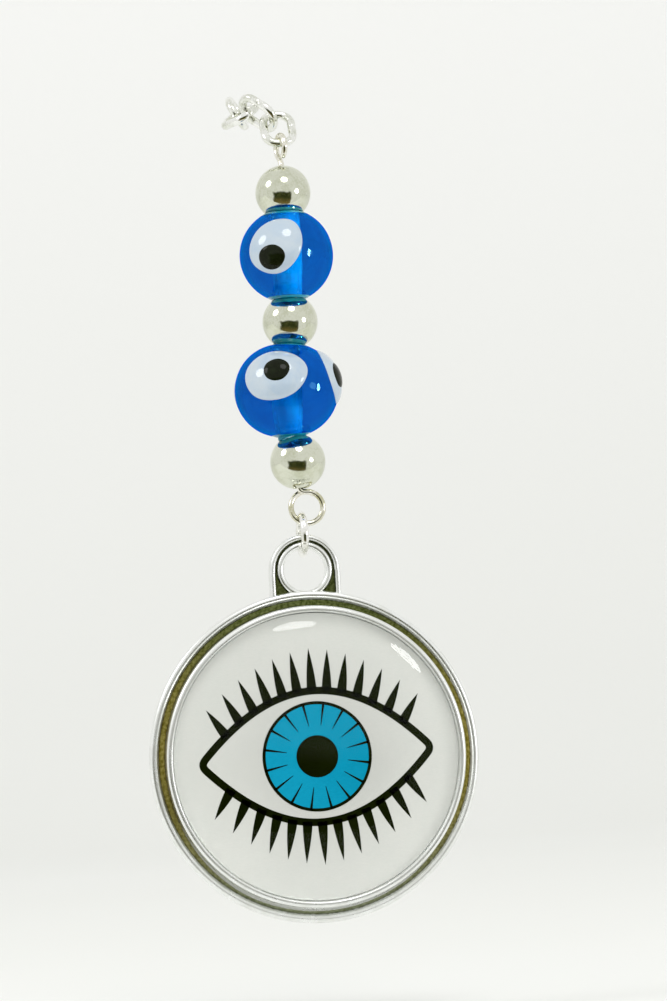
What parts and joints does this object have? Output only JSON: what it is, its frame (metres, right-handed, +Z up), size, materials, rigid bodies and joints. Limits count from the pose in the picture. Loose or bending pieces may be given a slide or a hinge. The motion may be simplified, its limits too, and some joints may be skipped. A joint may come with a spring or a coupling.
{
  "type": "evil eye hanging ornament",
  "caption": "Hanging charm: oval-link chain, eye pin strung with round metal and blue lampwork eye beads, jump ring, and a round bezel pendant with a printed eye under a clear dome.",
  "frame": {"origin": "centre of the second chain link, the link that bears on the support", "axes": "+Z up along the hanging strand, -Y the way the pendant faces, +X to the viewer's right"},
  "size_m": [0.0341, 0.0161, 0.0873],
  "materials": {
    "chain_metal": "silver-plated wire, bright, slightly warm",
    "pin_metal": "silver-plated wire, bright",
    "bead_metal": "polished silver plate, mirror-like, fine handling marks",
    "ring_metal": "silver-plated wire, bright",
    "bezel_metal": "silver-plated casting, bright, softly worn on its rims",
    "upper_glass": "translucent cornflower-blue lampwork glass, fire polished",
    "lower_glass": "translucent cobalt-blue lampwork glass, fire polished",
    "eye_white": "opaque white glass, fire polished, bluish at its edge",
    "eye_pupil": "opaque black glass, fire polished",
    "adhesive": "thin clear-white adhesive",
    "card": "coated white card with a printed eye",
    "dome_glass": "clear polished glass"
  },
  "bodies": {
    "chain_link_2": {"chain_link_2": "chain_metal"},
    "chain_link_1": {"chain_link_1": "chain_metal"},
    "chain_link_3": {"chain_link_3": "chain_metal"},
    "chain_link_4": {"chain_link_4": "chain_metal"},
    "eye_pin": {"eye_pin": "pin_metal"},
    "silver_bead_top": {"silver_bead_top": "bead_metal"},
    "silver_bead_middle": {"silver_bead_middle": "bead_metal"},
    "silver_bead_bottom": {"silver_bead_bottom": "bead_metal"},
    "upper_glass_bead": {"upper_glass_bead": "upper_glass", "upper_white_front": "eye_white", "upper_white_right": "eye_white", "upper_white_left": "eye_white", "upper_pupil_front": "eye_pupil", "upper_pupil_right": "eye_pupil", "upper_pupil_left": "eye_pupil"},
    "lower_glass_bead": {"lower_glass_bead": "lower_glass", "lower_white_front": "eye_white", "lower_white_right": "eye_white", "lower_white_left": "eye_white", "lower_pupil_front": "eye_pupil", "lower_pupil_right": "eye_pupil", "lower_pupil_left": "eye_pupil"},
    "jump_ring": {"jump_ring": "ring_metal"},
    "pendant": {"pendant_bezel": "bezel_metal", "adhesive_pad": "adhesive", "printed_card": "card", "glass_dome": "dome_glass"}
  },
  "joints": [
    {"name": "link_1_swing", "type": "hinge", "parent": "chain_link_2", "child": "chain_link_1", "pos_m": [0.00145, -0.00083, -0.00119], "axis": [0, -0.8192, 0.5736], "range_deg": [-45, 45]},
    {"name": "link_3_swing", "type": "hinge", "parent": "chain_link_2", "child": "chain_link_3", "pos_m": [-0.00065, 0.00069, 0.00031], "axis": [-0.7071, -0.4056, -0.5792], "range_deg": [-45, 45]},
    {"name": "link_4_swing", "type": "hinge", "parent": "chain_link_3", "child": "chain_link_4", "pos_m": [-0.0018, 0.00351, 0.0003], "axis": [0.5417, 0.2158, -0.8124], "range_deg": [-45, 45]},
    {"name": "strand_swing", "type": "hinge", "parent": "chain_link_1", "child": "eye_pin", "pos_m": [0.0018, -0.00255, -0.00365], "axis": [1, 0, 0], "range_deg": [-60, 60]},
    {"name": "top_bead_spin", "type": "hinge", "parent": "eye_pin", "child": "silver_bead_top", "pos_m": [0.0018, -0.00255, -0.00888], "axis": [0, 0, 1], "continuous": true},
    {"name": "upper_bead_spin", "type": "hinge", "parent": "eye_pin", "child": "upper_glass_bead", "pos_m": [0.0018, -0.00255, -0.01542], "axis": [0, 0, 1], "continuous": true},
    {"name": "middle_bead_spin", "type": "hinge", "parent": "eye_pin", "child": "silver_bead_middle", "pos_m": [0.0018, -0.00255, -0.02235], "axis": [0, 0, 1], "continuous": true},
    {"name": "lower_bead_spin", "type": "hinge", "parent": "eye_pin", "child": "lower_glass_bead", "pos_m": [0.0018, -0.00255, -0.02945], "axis": [0, 0, 1], "continuous": true},
    {"name": "bottom_bead_spin", "type": "hinge", "parent": "eye_pin", "child": "silver_bead_bottom", "pos_m": [0.0018, -0.00255, -0.03691], "axis": [0, 0, 1], "continuous": true},
    {"name": "jump_ring_swing", "type": "hinge", "parent": "eye_pin", "child": "jump_ring", "pos_m": [0.00185, -0.00255, -0.04321], "axis": [1, 0, 0], "range_deg": [-75, 75]},
    {"name": "pendant_swing", "type": "hinge", "parent": "jump_ring", "child": "pendant", "pos_m": [0.00185, -0.00255, -0.04646], "axis": [0, 1, 0], "range_deg": [-50, 50]}
  ]
}
